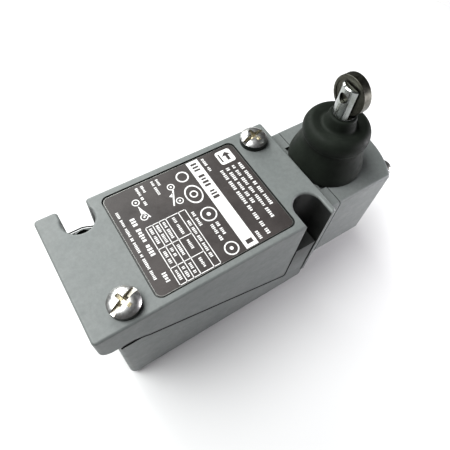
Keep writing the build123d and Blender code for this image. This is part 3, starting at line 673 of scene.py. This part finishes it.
def make_plate_print(materials):
    """Print of the nameplate and its bare edge. It is blocked out, with no words or marks."""
    rng = random.Random(PRINT_SEED)
    bm = bmesh.new()
    print_head(bm, rng)
    print_rings(bm, rng)
    print_pointers(bm, rng)
    print_table(bm, rng)
    finish_piece("nameplate_print", mesh_from(bm, "nameplate_print"), materials["white_ink"],
                 "switch_body")

    bm = bmesh.new()
    print_over(bm, rng)
    finish_piece("nameplate_dark_print", mesh_from(bm, "nameplate_dark_print"),
                 materials["nameplate_print"], "switch_body")

    bm = bmesh.new()
    outer, inner = (plate_outline(inset) for inset in RIM_INSET)
    add_band(bm, outer, inner, *RIM_Z)
    finish_piece("nameplate_rim", mesh_from(bm, "nameplate_rim"), materials["plate_rim"],
                 "switch_body")


# ---------------------------------------------------------------- rubber boot
BOOT_FOOT_Z, BOOT_TOP_Z = BOOT_LOW[2], BOOT_HIGH[2]
COLLAR_RADIUS = 5.0
UNEVENNESS = 0.07


def smooth_line(points, steps):
    """Catmull-Rom curve through the points."""
    result = []
    for i in range(len(points) - 1):
        p0 = points[max(i - 1, 0)]
        p1, p2 = points[i], points[i + 1]
        p3 = points[min(i + 2, len(points) - 1)]
        for k in range(steps):
            t = k / steps
            result.append(tuple(0.5 * (2 * b + (c - a) * t + (2 * a - 5 * b + 4 * c - d) * t * t
                                       + (3 * b - a - 3 * c + d) * t ** 3)
                                for a, b, c, d in zip(p0, p1, p2, p3)))
    result.append(points[-1])
    return result


def make_boot(materials):
    """Rubber boot: flared foot, waist, rolled bead, dished top and a collar on the plunger."""
    outer = [(12.44, 42.82), (12.44, 43.9), (11.85, 46.4), (10.75, 49.8), (10.0, 52.4),
             (9.92, 53.7), (10.45, 55.1), (10.55, 56.9), (9.8, 58.5), (8.5, 59.35), (7.1, 59.2),
             (5.8, 58.9), (4.95, 59.5), (4.6, 60.9), (4.4, 62.2), (4.1, 62.75), (3.56, 62.9)]
    inner = [(3.56, 60.5), (3.6, 58.8), (4.7, 57.4), (6.4, 57.5), (8.1, 57.6), (8.95, 56.1),
             (8.6, 53.4), (8.6, 52.0), (9.3, 49.4), (10.3, 46.4), (10.4, 44.5), (6.65, 44.4),
             (6.65, 42.82)]
    profile = smooth_line(outer, 6) + smooth_line(inner, 3)
    mesh = revolved("boot_rubber", profile, PLUNGER_X, 128)
    height = BOOT_TOP_Z - BOOT_FOOT_Z
    for vertex in mesh.vertices:
        x, y, z = (c / MM for c in vertex.co)
        angle = math.atan2(y, x - PLUNGER_X)
        radius = math.hypot(x - PLUNGER_X, y)
        rise = (z - BOOT_FOOT_Z) / height
        free = max(0.0, math.sin(math.pi * min(max(rise, 0.0), 1.0)))
        waves = math.sin(3 * angle + 1.1) + 0.6 * math.sin(5 * angle + 4 * rise)
        if radius > COLLAR_RADIUS:
            scale = 1 + UNEVENNESS * free * waves / radius
            vertex.co.x = (PLUNGER_X + (x - PLUNGER_X) * scale) * MM
            vertex.co.y = y * scale * MM
    boot = finish_piece("boot_rubber", mesh, materials["boot_rubber"], "switch_body",
                        True)
    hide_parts("boot")
    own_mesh(boot)


# ---------------------------------------------------------------- springs, seal and thread
CLOSED_TURNS = 0.8
STEPS_PER_TURN = 28
LIP_RADIUS = 0.225
LIP_OUT = 0.02


def coil_mesh(name, centre_line, wire_r, sides=10):
    """Round wire along a list of points."""
    bm = bmesh.new()
    rings = []
    count = len(centre_line)
    for i, point in enumerate(centre_line):
        ahead = centre_line[min(i + 1, count - 1)] - centre_line[max(i - 1, 0)]
        ahead.normalize()
        side = ahead.cross(Vector((0.13, 0.29, 0.95))).normalized()
        other = ahead.cross(side)
        ring = []
        for k in range(sides):
            a = 2 * math.pi * k / sides
            offset = (side * math.cos(a) + other * math.sin(a)) * wire_r
            ring.append(bm.verts.new((point + offset) * MM))
        rings.append(ring)
    add_tube(bm, rings)
    return mesh_from(bm, name)


def spring_line(start, axis, mean_r, wire_r, length, turns):
    """Centre line of a compression spring whose end coils are closed."""
    along = Vector(axis)
    side = Vector((0, 1, 0))
    other = along.cross(side)
    steps = int(turns * STEPS_PER_TURN)
    free_turns = turns - 2 * CLOSED_TURNS
    closed_rise = 2 * wire_r * CLOSED_TURNS
    free_rise = length - 2 * wire_r - 2 * closed_rise
    points = []
    for i in range(steps + 1):
        turn = turns * i / steps
        share = max(0.0, min(turn - CLOSED_TURNS, free_turns)) / free_turns
        rise = 2 * wire_r * min(turn, CLOSED_TURNS) + free_rise * share
        if turn > turns - CLOSED_TURNS:
            rise += closed_rise - 2 * wire_r * (turns - turn)
        a = 2 * math.pi * turn
        points.append(Vector(start) + along * (wire_r + rise)
                      + side * (mean_r * math.cos(a)) + other * (mean_r * math.sin(a)))
    return points


def make_spring(materials, name, foot, axis, mean_r, wire_r, length, turns):
    """Coil of round wire that stands on its foot and rides on the switch body."""
    line = spring_line(foot, axis, mean_r, wire_r, length, turns)
    return finish_piece(name, coil_mesh(name, line, wire_r), materials["spring_steel"],
                        "switch_body", True)


def make_springs(materials):
    """Springs of the plunger and of the contact carrier, in place of the CAD springs."""
    foot_x, foot_z, length = 53.6, 11.55, 15.9
    spring = make_spring(materials, "plunger_return_spring", (foot_x, 0, foot_z), (0, 0, 1),
                         mean_r=2.4, wire_r=0.35, length=length, turns=7)
    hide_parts("plunger_spring")
    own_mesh(spring)

    foot_x, foot_z, length = 3.65, 25.9, 4.5
    spring = make_spring(materials, "contact_return_spring", (foot_x, 0, foot_z), (1, 0, 0),
                         mean_r=1.9, wire_r=0.22, length=length, turns=4.5)
    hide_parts("contact_spring")
    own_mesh(spring)


def make_gasket_bead_and_gap_shadow(materials):
    """Lip of the seal that shows as a dark line along the sloping joint, on both sides, and a painted shadow up
    the ear.
    """
    slope = [(-35.2, 34.55), (-29.35, 34.55), (-28.0, 33.9), (-26.6, 32.95), (24.6, 12.77)]
    # painted shadow: up the ear the dark strip stands in for the shadow in the gap between ear and body
    gap_shadow_up_the_ear = [(25.2, 13.3), (25.27, 16.0), (25.27, 30.5)]
    for side, name, ridge in ((-1, "gasket_lip_and_gap_shadow_near", slope + gap_shadow_up_the_ear),
                              (1, "gasket_lip_far", slope)):
        line = [Vector((x, side * (BODY_HALF_WIDTH + LIP_OUT), z)) for x, z in ridge]
        finish_piece(name, coil_mesh(name, line, LIP_RADIUS, 8), materials["gasket_rubber"], "base",
                     True)


def make_conduit_thread(materials):
    """Ridge of the pipe thread inside the conduit entry."""
    bm = bmesh.new()
    start_x, pitch, root, crest, turns = -34.6, 1.814, 10.5, 9.65, 6.2
    half_foot, half_crest = 0.78, 0.12
    steps = int(turns * 64)
    rings = []
    for i in range(steps + 1):
        turn = turns * i / steps
        a = 2 * math.pi * turn
        fade = min(1.0, turn * 2.5, (turns - turn) * 2.5)
        inner = root - (root - crest) * max(fade, 0.02)
        x = start_x + pitch * turn
        section = ((-half_foot, root), (-half_crest, inner), (half_crest, inner), (half_foot, root))
        rings.append([bm.verts.new(((x + dx) * MM, r * math.cos(a) * MM,
                                    (CONDUIT_Z + r * math.sin(a)) * MM)) for dx, r in section])
    add_tube(bm, rings)
    finish_piece("conduit_thread", mesh_from(bm, "conduit_thread"), materials["casting_paint"],
                 "base", True)


# ---------------------------------------------------------------- put it together
def paint_cad(materials):
    """Every CAD node takes the material of its slot, and the head's screws their own."""
    finishes = {"head_screws": "chrome_end"}
    for part in frame["record"]["subparts"]:
        piece = nodes[part["node"]]
        material = materials[finishes.get(part["node"], part["material_slot"])]
        for place in piece.material_slots:
            place.material = material
        if not piece.material_slots:
            piece.data.materials.append(material)


make_camera()
make_world()
make_light()
make_floor()
materials = make_materials()
paint_cad(materials)
make_plate_print(materials)
make_boot(materials)
make_springs(materials)
make_conduit_thread(materials)
make_gasket_bead_and_gap_shadow(materials)
